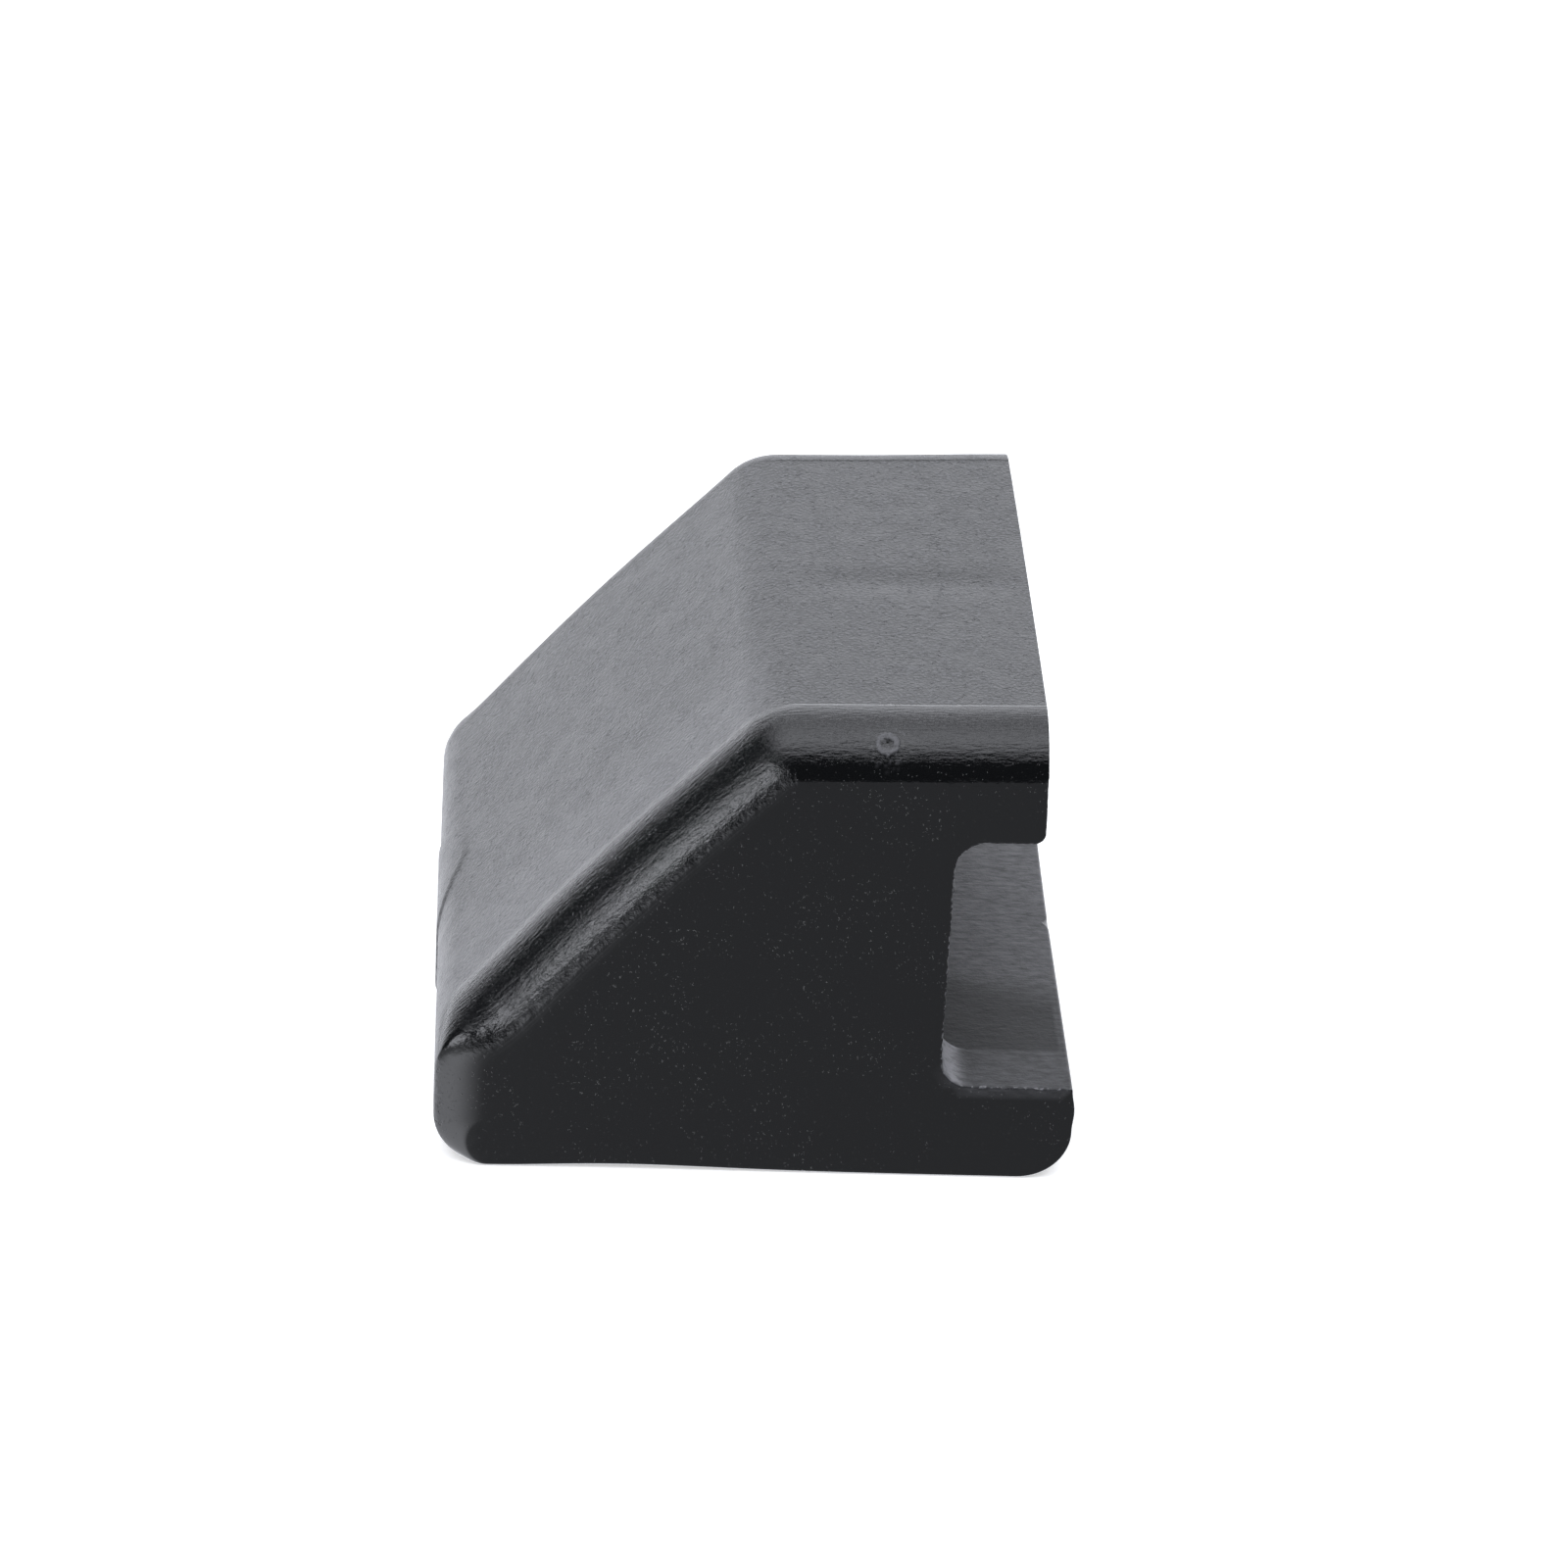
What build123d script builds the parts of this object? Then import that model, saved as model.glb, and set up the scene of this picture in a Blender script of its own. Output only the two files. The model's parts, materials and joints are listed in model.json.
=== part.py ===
from build123d import *
import math
import os

# Cleat horn: a thick moulded block that hooks onto the edge of a flat bar with a C-shaped
# channel. Screws come through the bar into brass inserts moulded in behind the channel's wall.
# Frame: +X out of the channel's mouth, +Y along the channel, +Z up, sizes in millimetres.
# Origin: middle of the horn's box in X and Y, on the flat base.

# the bar that the horn hooks onto, and the fit around it
bar_thickness = 25.4
bar_clearance = 0.3          # each side, between the bar and a lip

# side profile, measured in X from the end wall and in Z from the base
lower_lip_thickness = 9.9
upper_lip_thickness = 11.3   # at the lip's end
channel_wall_reach = 47.2    # end wall to the channel's back wall
upper_lip_reach = 55.0       # end wall to the upper lip's end, at the top
upper_lip_lean = 0.4         # how much further the lip's end reaches at its underside
lower_lip_reach = 59.5       # end wall to the lower lip's nose, at the channel
nose_lean = 0.6              # how much further the nose reaches at the base
top_fall = 0.6               # drop of the top from the lip's end to the sharp brow
end_wall_height = 13.5       # base to the sharp corner under the slope
slope_run = 29.4             # end wall to the sharp brow over the slope
slope_crown = 0.5            # rise of the slope's middle over the line between its corners
heel_radius = 5.5            # base to end wall
shoulder_radius = 8.0        # end wall to slope
brow_radius = 6.7            # slope to top
toe_radius = 5.0             # base to the lower lip's nose
lip_corner_radius = 1.1      # underside of the upper lip, at its end

# along the channel
horn_width = 64.0            # end face to end face
end_round = 5.8              # end faces to the top and the slope
end_wall_fall = 0.85         # how far the end faces fall back where they meet the end wall
base_edge_round = 1.0        # end faces to the base
sill_length = 7.0            # stretch at each end with well rounded channel corners
sill_corner_radius = 3.0
channel_corner_radius = 0.8  # channel corners between the sills

# blank round pad standing proud of the end wall
pad_radius = 8.3
pad_height = 8.1             # base to the pad's middle
pad_proud = 0.3

# threaded inserts, 1/4-20 UNC, moulded in
insert_radius = 4.75
insert_length = 12.7
insert_waist_radius = 4.1    # groove that the plastic grips
insert_waist_length = 2.6
insert_bore_radius = 2.55    # tapping drill
insert_bore_depth = 11.0
insert_countersink = 0.5
insert_chamfer = 0.4         # inner end
insert_spacing = 32.0        # middle to middle, along the channel

# worked out from the values above
channel_floor = lower_lip_thickness
channel_top = channel_floor + bar_thickness + 2 * bar_clearance
channel_middle = (channel_floor + channel_top) / 2
horn_height = channel_top + upper_lip_thickness
brow_height = horn_height - top_fall
toe_reach = lower_lip_reach + nose_lean
nose_tilt = math.atan2(nose_lean, channel_floor)
nose_tip = toe_reach + toe_radius * (1 - math.tan(nose_tilt) - 1 / math.cos(nose_tilt))
box_middle = (nose_tip - pad_proud) / 2    # brings the box to the origin in X
spare = horn_height                        # how far cutters and blanks run past the horn

# circle that the crowned slope lies on
slope_chord = math.hypot(slope_run, brow_height - end_wall_height)
slope_radius = (slope_chord**2 / 4 + slope_crown**2) / (2 * slope_crown)
slope_tilt = math.atan2(brow_height - end_wall_height, slope_run)
slope_drop = slope_radius - slope_crown
slope_centre_x = slope_run / 2 + slope_drop * math.sin(slope_tilt)
slope_centre_z = (end_wall_height + brow_height) / 2 - slope_drop * math.cos(slope_tilt)


def slope_height(x):
    # height of the slope's circle at x
    return slope_centre_z + math.sqrt(slope_radius**2 - (x - slope_centre_x) ** 2)


def outline(corners):
    # closed face in the XZ plane through (x, z, radius) corners, where radius 0 stays sharp.
    # The side that ends at the brow follows the slope's circle.
    sides = []
    for start, end in zip(corners, corners[1:] + corners[:1]):
        start_point = (start[0], start[1])
        end_point = (end[0], end[1])
        if end_point == (slope_run, brow_height):
            middle_x = (start[0] + end[0]) / 2
            middle = (middle_x, slope_height(middle_x))
            sides.append(ThreePointArc(start_point, middle, end_point))
        else:
            sides.append(Line(start_point, end_point))
    face = make_face(sides)
    for x, z, radius in corners:
        if radius > 0:
            corner = face.vertices().sort_by_distance((x, z, 0))[0]
            face = fillet(corner, radius)
    return Plane.XZ * face


def along_channel(face, length):
    # the face drawn out along Y, centred on the horn's middle
    return extrude(face, amount=length / 2, dir=(0, 1, 0), both=True)


def side_block():
    # side profile with the sills' channel corners, straight from end to end
    profile = outline([
        (0, 0, heel_radius),
        (0, end_wall_height, shoulder_radius),
        (slope_run, brow_height, brow_radius),
        (upper_lip_reach, horn_height, 0),
        (upper_lip_reach + upper_lip_lean, channel_top, lip_corner_radius),
        (channel_wall_reach, channel_top, sill_corner_radius),
        (channel_wall_reach, channel_floor, sill_corner_radius),
        (lower_lip_reach, channel_floor, 0),
        (toe_reach, 0, toe_radius),
    ])
    return along_channel(profile, horn_width)


def rounded_envelope():
    # Oversize block whose end faces are rounded into the top and the slope. Its own end wall
    # stands outside the horn's, so that there the rounding falls back by end_wall_fall only.
    outside = end_round - math.sqrt(end_round**2 - (end_round - end_wall_fall) ** 2)
    foot_height = slope_height(-outside)
    foot_tilt = math.atan2(slope_centre_x, slope_height(0) - slope_centre_z)
    half_turn = (math.pi / 2 - foot_tilt) / 2
    wide_radius = shoulder_radius + outside / math.cos(foot_tilt) / math.tan(half_turn)
    far_side = toe_reach + spare
    top_slant = top_fall / (upper_lip_reach - slope_run)
    far_height = horn_height + top_slant * (far_side - upper_lip_reach)
    profile = outline([
        (-outside, -spare, 0),
        (-outside, foot_height, wide_radius),
        (slope_run, brow_height, brow_radius),
        (far_side, far_height, 0),
        (far_side, -spare, 0),
    ])
    block = along_channel(profile, horn_width)
    edges = []
    for face in (block.faces().sort_by(Axis.Y)[0], block.faces().sort_by(Axis.Y)[-1]):
        for edge in face.edges():
            middle = edge.position_at(0.5)
            on_far_side = middle.X > far_side - 1
            on_underside = middle.Z < 1 - spare
            if not (on_far_side or on_underside):
                edges.append(edge)
    return fillet(edges, end_round)


def base_envelope():
    # oversize block standing on the base, with the base's long edges rounded
    block = Box(
        2 * (toe_reach + spare), horn_width, 2 * horn_height,
        align=(Align.CENTER, Align.CENTER, Align.MIN),
    )
    long_edges = block.edges().filter_by(Axis.X).sort_by(Axis.Z)[:2]
    return fillet(long_edges, base_edge_round)


def inner_channel():
    # squarer channel corners between the two sills
    profile = outline([
        (channel_wall_reach, channel_top, channel_corner_radius),
        (channel_wall_reach, channel_floor, channel_corner_radius),
        (channel_wall_reach + 2 * sill_corner_radius, channel_floor, 0),
        (channel_wall_reach + 2 * sill_corner_radius, channel_top, 0),
    ])
    return along_channel(profile, horn_width - 2 * sill_length)


def end_pad(horn):
    # layer of the horn's own shape, pad_proud thick, inside a cylinder along X
    reach = shoulder_radius + pad_radius
    cylinder = Plane((-pad_proud, 0, pad_height), z_dir=(1, 0, 0)) * Cylinder(
        pad_radius, reach, align=(Align.CENTER, Align.CENTER, Align.MIN)
    )
    return (Pos(-pad_proud, 0, 0) * horn) & cylinder


def insert_shape():
    # outer shape of an insert along +Z, with its mouth at z = 0 and its body below
    waist_top = -(insert_length - insert_waist_length) / 2
    waist_bottom = waist_top - insert_waist_length
    half_section = Polyline(
        (0, 0),
        (insert_radius, 0),
        (insert_radius, waist_top),
        (insert_waist_radius, waist_top),
        (insert_waist_radius, waist_bottom),
        (insert_radius, waist_bottom),
        (insert_radius, -insert_length + insert_chamfer),
        (insert_radius - insert_chamfer, -insert_length),
        (0, -insert_length),
        close=True,
    )
    return revolve(make_face(Plane.XZ * half_section), Axis.Z)


def insert_bore():
    # blind bore with a small countersink at the mouth
    bore = Cylinder(
        insert_bore_radius, insert_bore_depth, align=(Align.CENTER, Align.CENTER, Align.MAX)
    )
    countersink = Cone(
        insert_bore_radius, insert_bore_radius + insert_countersink, insert_countersink,
        align=(Align.CENTER, Align.CENTER, Align.MAX),
    )
    return bore + countersink


def at_insert(side):
    # place of an insert's mouth on the channel's back wall, side -1 front or 1 rear
    mouth = (channel_wall_reach, side * insert_spacing / 2, channel_middle)
    return Plane(mouth, x_dir=(0, 1, 0), z_dir=(1, 0, 0)).location


def horn_body():
    horn = side_block() & rounded_envelope() & base_envelope()
    horn = horn + end_pad(horn) - inner_channel()
    for side in (-1, 1):
        horn = horn - at_insert(side) * insert_shape()
    return horn


def threaded_insert(side):
    return at_insert(side) * (insert_shape() - insert_bore())


parts = {
    "horn_body": horn_body(),
    "front_insert": threaded_insert(-1),
    "rear_insert": threaded_insert(1),
}

os.makedirs("parts", exist_ok=True)
for name, shape in parts.items():
    placed = Pos(-box_middle, 0, 0) * shape
    export_step(placed, f"parts/{name}.step")
    size = placed.bounding_box().size
    print(f"{name}: {size.X:.2f} x {size.Y:.2f} x {size.Z:.2f} mm, {placed.volume:.0f} mm3")
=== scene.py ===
import json
import math

import bmesh
import bpy
import numpy as np
from mathutils import Matrix, Vector, noise
from mathutils.geometry import delaunay_2d_cdt


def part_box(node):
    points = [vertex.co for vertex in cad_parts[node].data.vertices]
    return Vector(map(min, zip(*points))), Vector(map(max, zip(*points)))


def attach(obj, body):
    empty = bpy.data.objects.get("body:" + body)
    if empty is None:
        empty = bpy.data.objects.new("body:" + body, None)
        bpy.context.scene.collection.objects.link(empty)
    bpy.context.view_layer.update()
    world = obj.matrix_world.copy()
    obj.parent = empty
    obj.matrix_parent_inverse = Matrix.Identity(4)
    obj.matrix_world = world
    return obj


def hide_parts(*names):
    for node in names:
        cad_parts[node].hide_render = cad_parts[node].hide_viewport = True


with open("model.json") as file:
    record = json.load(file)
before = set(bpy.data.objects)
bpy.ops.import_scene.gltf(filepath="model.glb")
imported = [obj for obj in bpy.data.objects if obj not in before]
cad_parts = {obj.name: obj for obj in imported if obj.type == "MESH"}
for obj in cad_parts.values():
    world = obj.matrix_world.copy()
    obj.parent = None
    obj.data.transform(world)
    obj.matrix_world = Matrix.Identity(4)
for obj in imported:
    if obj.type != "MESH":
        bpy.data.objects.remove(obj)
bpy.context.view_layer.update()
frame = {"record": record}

mm = 0.001
scene = bpy.context.scene
mounts = {mount["name"]: mount for mount in frame["record"]["mounts"]}
bodyLow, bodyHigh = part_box("horn_body")


def inMm(metres):
    return metres / mm


def linear(hexColour):
    # sRGB hex to the linear values that shaders want
    channels = [int(hexColour[i:i + 2], 16) / 255 for i in (1, 3, 5)]
    return [c / 12.92 if c <= 0.04045 else ((c + 0.055) / 1.055) ** 2.4 for c in channels] + [1.0]


def addNode(tree, kind, settings=None, links=None):
    # settings are the node's properties, links are its sockets by name or number, and each takes a
    # value, a socket or a node, whose first output then counts
    node = tree.nodes.new(kind)
    for key, value in (settings or {}).items():
        setattr(node, key, value)
    usable = [socket for socket in node.inputs if socket.enabled]
    named = {socket.name: socket for socket in reversed(usable)}
    for key, value in (links or {}).items():
        target = usable[key] if isinstance(key, int) else named[key]
        if isinstance(value, bpy.types.Node):
            value = next(socket for socket in value.outputs if socket.enabled)
        if isinstance(value, bpy.types.NodeSocket):
            tree.links.new(value, target)
        else:
            target.default_value = value
    return node


def ease(low, high, value):
    # smooth rise from 0 at low to 1 at high
    share = np.clip((value - low) / (high - low), 0, 1)
    return share * share * (3 - 2 * share)


def noiseField(points, scale, seed):
    # smooth noise at each point, where scale is the size of a lump in the points' own units
    shift = Vector((seed * 17.3, seed * 5.1, seed * 9.7))
    return np.array([noise.noise(Vector(point) / scale + shift) for point in points])


def makeMesh(name, points, faces):
    # points in mm, faces as index lists, all shaded smooth
    mesh = bpy.data.meshes.new(name)
    mesh.from_pydata([tuple(point) for point in np.asarray(points) * mm], [], faces)
    mesh.update()
    mesh.polygons.foreach_set("use_smooth", [True] * len(mesh.polygons))
    piece = bpy.data.objects.new(name, mesh)
    scene.collection.objects.link(piece)
    return piece


cameraLook = {
    "lens": 137.745,        # mm, on a sensor 36 mm wide
    "elevation": 28.15,     # degrees that it looks down
    "yaw": 3.6,             # degrees that the view turns towards +X
    "roll": -3.245,
    "distance": 0.5814,
    "target": (0.00331, 0.0, 0.02437),
}


def placeCamera(look):
    lift = math.radians(look["elevation"])
    yaw = math.radians(look["yaw"])
    roll = math.radians(look["roll"])
    ahead = Vector((math.sin(yaw) * math.cos(lift), math.cos(yaw) * math.cos(lift), -math.sin(lift)))
    right = Vector((math.cos(yaw), -math.sin(yaw), 0))
    up = right.cross(ahead)
    rolledRight = math.cos(roll) * right - math.sin(roll) * up
    rolledUp = math.sin(roll) * right + math.cos(roll) * up
    data = bpy.data.cameras.new("camera")
    data.lens = look["lens"]
    data.sensor_width = 36
    data.clip_start = 0.01
    camera = bpy.data.objects.new("camera", data)
    turn = Matrix((rolledRight, rolledUp, -ahead)).transposed().to_4x4()
    camera.matrix_world = Matrix.Translation(Vector(look["target"]) - ahead * look["distance"]) @ turn
    scene.collection.objects.link(camera)
    scene.camera = camera


placeCamera(cameraLook)
print("camera placed")


hornShape = {               # mm
    "padInBox": 0.3,        # of the box, taken up by the pad
    "padProud": 0.2,        # and the round pad stands this far out of the wall
    "padRadius": 8.3,
    "padHeight": 8.1,       # base to the pad's middle
    "padBack": 0.9,         # how far the pad's middle lies behind the horn's
    "endWallHeight": 13.5,
    "slopeRun": 29.4,       # end wall to the sharp brow
    "topFall": 0.6,         # drop of the top from the lip to the sharp brow
    "lipReach": 55.05,      # end wall to the upper lip's end
    "lipLean": 0.3,         # its underside reaches further by this much
    "noseReach": 59.75,     # end wall to the lower lip's nose
    "noseLean": 0.45,        # its foot reaches further by this much
    "heelRadius": 5.1,
    "shoulderRadius": 8.0,
    "browRadius": 6.7,
    "toeRadius": 5.0,
    "lipCornerRadius": 1.1,
    "crispRadius": 0.12,    # upper lip, at the top of its end
    "noseCornerRadius": 0.3,
    "sillCornerRadius": 3.0,
    "channelCornerRadius": 0.8,
    "sillLength": 7.0,      # stretch at each end with well rounded channel corners
    "slopeCrown": 0.5,
    "noseCrown": 0.22,
    "baseArch": 0.38,       # the base lifts off what it stands on, nearest the heel
    "topRound": 5.8,        # end faces to the top and the slope
    "wallRoundWide": 7.0,   # end faces to the end wall, measured along the end face
    "wallRoundDeep": 2.9,   # and along the channel
    "wallCut": 2.2,         # the end wall cuts this much off that rounding
    "roundFade": 10.0,      # stretch from the end wall up the slope over which one becomes the other
    "cutSoft": 0.12,        # mm2, how softly the cut meets the rounding
    "footRound": 0.4,       # end faces to the base
    "channelRound": 0.22,   # end faces into the channel
    "lipSlide": 9.0,        # stretch of the lip's end that the top's rounding shortens
    "fadeStart": -1.0,      # where that starts, on the end wall's side
    "lipBlend": 3.0,        # stretch of the top over which the lip's slide takes over
    "spacing": 0.62,        # mesh spacing on plain stretches
    "fineSpacing": 0.3,
    "faceSpacing": 1.1,     # on the flat end faces
    "leastSpacing": 0.07,
    "nearCorner": (0.08, 0.25),     # points this close to a side's ends
    "sideMargin": 0.05,
    "fineFromShoulder": 6.0,        # finer mesh on this stretch to either side of it
    "fineFromMiddle": 9.9,          # and to either side of the horn's middle, where the inserts sit
}
gateMark = {                # mm, where the moulding was cut from its runner
    "alongTop": 40.4,       # from the end wall
    "turn": 46.0,           # degrees round the front rounding, from the top
    "ringRadius": 0.8, "ringWidth": 0.27, "ringHigh": 0.09, "ringPits": 1.3,
    "dimpleRadius": 0.5, "dimpleDeep": 0.06, "dimplePits": 2,
    "haloRadius": 2.2, "haloLump": 0.5, "haloHigh": 0.03, "haloDeep": 0.02,
    "pitSize": 0.3, "finePitSize": 0.16, "finePitShare": 0.6,
    "reach": 4,             # nothing of it lies further out
    "scuffLump": 0.35,
    "meshHalf": 2.3, "meshSpacing": 0.13,
}
endWallX = inMm(bodyLow.x) + hornShape["padInBox"]
wallX = inMm(mounts["channel_wall"]["pos_m"][0])
floorZ = inMm(mounts["lower_lip"]["pos_m"][2])
ceilingZ = inMm(mounts["upper_lip"]["pos_m"][2])
topZ = inMm(bodyHigh.z)
frontY = inMm(bodyLow.y)
rearY = inMm(bodyHigh.y)


def hornCorners(channelRadius):
    # x, z, radius, steps round the corner; from the heel up, over the top and round the channel
    shape = hornShape
    return [
        (endWallX, 0, shape["heelRadius"], 22),
        (endWallX, shape["endWallHeight"], shape["shoulderRadius"], 20),
        (endWallX + shape["slopeRun"], topZ - shape["topFall"], shape["browRadius"], 14),
        (endWallX + shape["lipReach"], topZ, shape["crispRadius"], 3),
        (endWallX + shape["lipReach"] + shape["lipLean"], ceilingZ, shape["lipCornerRadius"], 8),
        (wallX, ceilingZ, channelRadius, 12),
        (wallX, floorZ, channelRadius, 12),
        (endWallX + shape["noseReach"], floorZ, shape["noseCornerRadius"], 5),
        (endWallX + shape["noseReach"] + shape["noseLean"], 0, shape["toeRadius"], 18),
    ]


# sides are numbered like the corner that they follow
endWall, slope, top, lipEnd, ceiling, channelWall, channelFloor, nose, base = range(9)
# lists that hold a side for each point of the horn have these for the points on no side
endFace, pocket = -9.0, -5.0
# crown of each side, in mm, the power that moves it towards the side's end and the power that rounds it
crowns = {slope: (hornShape["slopeCrown"], 1, 1.2), nose: (hornShape["noseCrown"], 1, 2),
          base: (-hornShape["baseArch"], 2.2, 2)}
# how far each side draws in at the end faces, over what length along the channel, and how much
# of that the side itself cuts off
drawIn = {side: ("channelRound", "channelRound", None) for side in range(9)}
drawIn[endWall] = ("wallRoundWide", "wallRoundDeep", "wallCut")
drawIn[slope] = drawIn[top] = ("topRound", "topRound", None)
drawIn[base] = ("footRound", "footRound", None)


def cornerCurve(before, corner, after, radius, steps):
    # points and outward normals round a corner
    point = np.array(corner)
    arriving = (point - np.array(before)) / np.linalg.norm(point - np.array(before))
    leaving = (np.array(after) - point) / np.linalg.norm(np.array(after) - point)
    turn = math.atan2(arriving[0] * leaving[1] - arriving[1] * leaving[0], arriving @ leaving)
    outside = -math.copysign(1, turn)       # 1 at an outside corner, -1 at an inside one
    firstNormal = np.array([-arriving[1], arriving[0]])
    start = point - arriving * radius * math.tan(abs(turn) / 2)
    centre = start - firstNormal * radius * outside
    angles = np.linspace(0, turn, steps + 1)
    cosines, sines = np.cos(angles), np.sin(angles)
    outward = np.stack([firstNormal[0] * cosines - firstNormal[1] * sines,
                        firstNormal[0] * sines + firstNormal[1] * cosines], 1)
    return centre + outward * radius * outside, outward


def sideShares(length, spots):
    # shares of a side's length at which it has points: closer near its ends and at the spots
    shape = hornShape
    count = int(length / shape["spacing"])
    places = list(np.arange(1, count) / count * length)
    for near in shape["nearCorner"]:
        places += [near, length - near]
    for middle, half, spacing in spots:
        places += list(np.arange(middle - half, middle + half, spacing))
    margin = shape["sideMargin"]
    places = sorted(place for place in places if margin < place < length - margin)
    kept = [places[0]]
    for place in places[1:]:
        if place - kept[-1] > shape["leastSpacing"]:
            kept.append(place)
    return np.array(kept) / length


def hornSection(channelRadius, shares=None):
    # one section's points, outward normals, side numbers and places round the horn
    corners = hornCorners(channelRadius)
    curves = []
    for index, (x, z, radius, steps) in enumerate(corners):
        before = corners[index - 1][:2]
        after = corners[(index + 1) % len(corners)][:2]
        curves.append(cornerCurve(before, (x, z), after, radius, steps))
    points, normals, places = [], [], []
    made = shares is None
    shares = {} if made else shares
    for index, (curve, outward) in enumerate(curves):
        following = curves[(index + 1) % len(curves)][0]
        start, end = curve[-1], following[0]
        length = np.linalg.norm(end - start)
        if made:
            spots = []
            if index == top:
                alongTop = gateMark["alongTop"] + endWallX - start[0]
                spots = [(alongTop, gateMark["meshHalf"], gateMark["meshSpacing"])]
            if index in (endWall, slope):
                spots = [(0, hornShape["fineFromShoulder"], hornShape["fineSpacing"])]
            if index in (channelWall, channelFloor):
                spots = [(length / 2, length / 2, hornShape["fineSpacing"])]
            shares[index] = sideShares(length, spots)
        direction = (end - start) / length
        sideNormal = np.array([-direction[1], direction[0]])
        crown, shift, roundness = crowns.get(index, (0, 1, 2))
        lift = crown * np.sin(math.pi * shares[index] ** shift) ** roundness
        side = start + np.outer(shares[index], end - start) + np.outer(lift, sideNormal)
        points += [curve, side]
        normals += [outward, np.tile(sideNormal, (len(side), 1))]
        # a corner's last point stays just short of the next side's number
        places += [index - 1 + np.linspace(0, 1, len(curve)) * 0.999, index + 0 * shares[index]]
    return np.concatenate(points), np.concatenate(normals), np.concatenate(places), shares


def blended(values, places):
    # a value for each section point: its side's own, and blended round the corners
    before = np.floor(places).astype(int)
    share = ease(0, 1, places - before)
    table = np.array([values[index] for index in range(9)])
    return table[before % 9] * (1 - share) + table[(before + 1) % 9] * share


def stationDepths():
    # distances from an end face at which the horn has sections; turns are degrees round the rounding
    shape = hornShape
    turns = np.concatenate([np.linspace(0, 30, 11), np.arange(31.5, 63, 1.5), np.linspace(65, 90, 9)])
    rounding = shape["topRound"] * (1 - np.cos(np.radians(turns)))
    sill = shape["sillLength"]
    middle = (rearY - frontY) / 2
    fineStart = middle - shape["fineFromMiddle"]
    plain = np.arange(sill + 0.5, fineStart, shape["spacing"])
    fine = np.linspace(fineStart, middle, 34)
    pastRounding = shape["topRound"] + np.array([0.1, 0.2, 0.35])
    atSill = sill + np.array([-0.45, -0.15, 0, 0.03, 0.2])
    return np.concatenate([rounding, pastRounding, atSill, plain, fine])


def hornStations():
    depths = stationDepths()
    front = frontY + depths
    rear = rearY - depths[:-1][::-1]
    return np.concatenate([front, rear])


def drawnIn(depth, wide, deep, cut=0):
    # how far a side is drawn in at this depth, as a quarter ellipse less what the side cuts off
    share = 1 - math.sqrt(max(0, 1 - max(0, 1 - depth / deep) ** 2))
    full = wide * share - cut
    if not cut:
        return full
    soft = hornShape["cutSoft"]
    return (full + math.sqrt(full**2 + soft)) / 2 - (math.sqrt(cut**2 + soft) - cut) / 2


def sectionPoints(depth, sections):
    # the section at this distance from the nearer end face
    shape = hornShape
    pastSill = int(depth > shape["sillLength"] + 0.001)
    points, normals, places, fromLip, fromShoulder = sections[pastSill]
    amounts = [drawnIn(depth, shape[wide], shape[deep], shape[cut] if cut else 0)
               for wide, deep, cut in (drawIn[side] for side in range(9))]
    amount = blended(amounts, places)
    fade = ease(shape["fadeStart"], shape["roundFade"], fromShoulder)
    faded = amounts[endWall] * (1 - fade) + amounts[slope] * fade
    amount = np.where((places >= endWall) & (places <= slope), faded, amount)
    placed = points - normals * amount[:, None]
    # the lip's end isn't drawn in: its upper corner slides down along it, with the top's last stretch
    onLip = np.where((places > top) & (places <= lipEnd), 1, 0)
    onLip = np.where(places == top, ease(shape["lipBlend"], 0, fromLip), onLip)[:, None]
    fullSlide = drawnIn(depth, shape["topRound"], shape["topRound"])
    fading = fullSlide * np.clip(1 - fromLip / shape["lipSlide"], 0, 1)
    slide = np.where(places == top, fullSlide, fading)
    lean = shape["lipLean"] / (topZ - ceilingZ)
    bevel = drawnIn(depth, shape["channelRound"], shape["channelRound"])
    slid = points + np.stack([slide * lean - bevel, -slide], 1)
    return slid * onLip + placed * (1 - onLip)


def flatPatch(outline, holes, spacing, points2d):
    # triangles that fill an outline between its holes, with inner points in rows 0.866 of their
    # spacing apart, which keeps the triangles even
    loops = [outline] + holes
    flat = [tuple(points2d[i]) for loop in loops for i in loop]
    edges, start = [], 0
    for loop in loops:
        edges += [(start + k, start + (k + 1) % len(loop)) for k in range(len(loop))]
        start += len(loop)
    ring = np.array(flat)
    low, high = ring.min(0), ring.max(0)
    inner = []
    rows = np.arange(low[1] + spacing / 2, high[1], spacing * 0.866)
    for number, v in enumerate(rows):
        shift = spacing / 2 * (number % 2)
        for u in np.arange(low[0] + spacing / 2 + shift, high[0], spacing):
            if np.min((ring[:, 0] - u) ** 2 + (ring[:, 1] - v) ** 2) > (0.55 * spacing) ** 2:
                inner.append((u, v))
    inner = [point for point in inner if insideLoops(point, loops, points2d)]
    vertices, _, triangles, origins, _, _ = delaunay_2d_cdt(
        [Vector(point) for point in flat + inner], edges, [], 0, 1e-6)
    kept = []
    for triangle in triangles:
        middle = sum((np.array(vertices[i]) for i in triangle), np.zeros(2)) / 3
        if insideLoops(middle, loops, points2d):
            kept.append([origins[i][0] for i in triangle])
    return inner, kept


def insideLoops(point, loops, points2d):
    # true inside the first loop and outside the others
    u, v = point
    crossings = 0
    for loop in loops:
        ring = points2d[loop]
        following = np.roll(ring, -1, axis=0)
        spans = (ring[:, 1] > v) != (following[:, 1] > v)
        rise = np.where(spans, following[:, 1] - ring[:, 1], 1)
        reach = ring[:, 0] + (v - ring[:, 1]) / rise * (following[:, 0] - ring[:, 0])
        crossings += np.count_nonzero(spans & (reach > u))
    return crossings % 2 == 1


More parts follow.
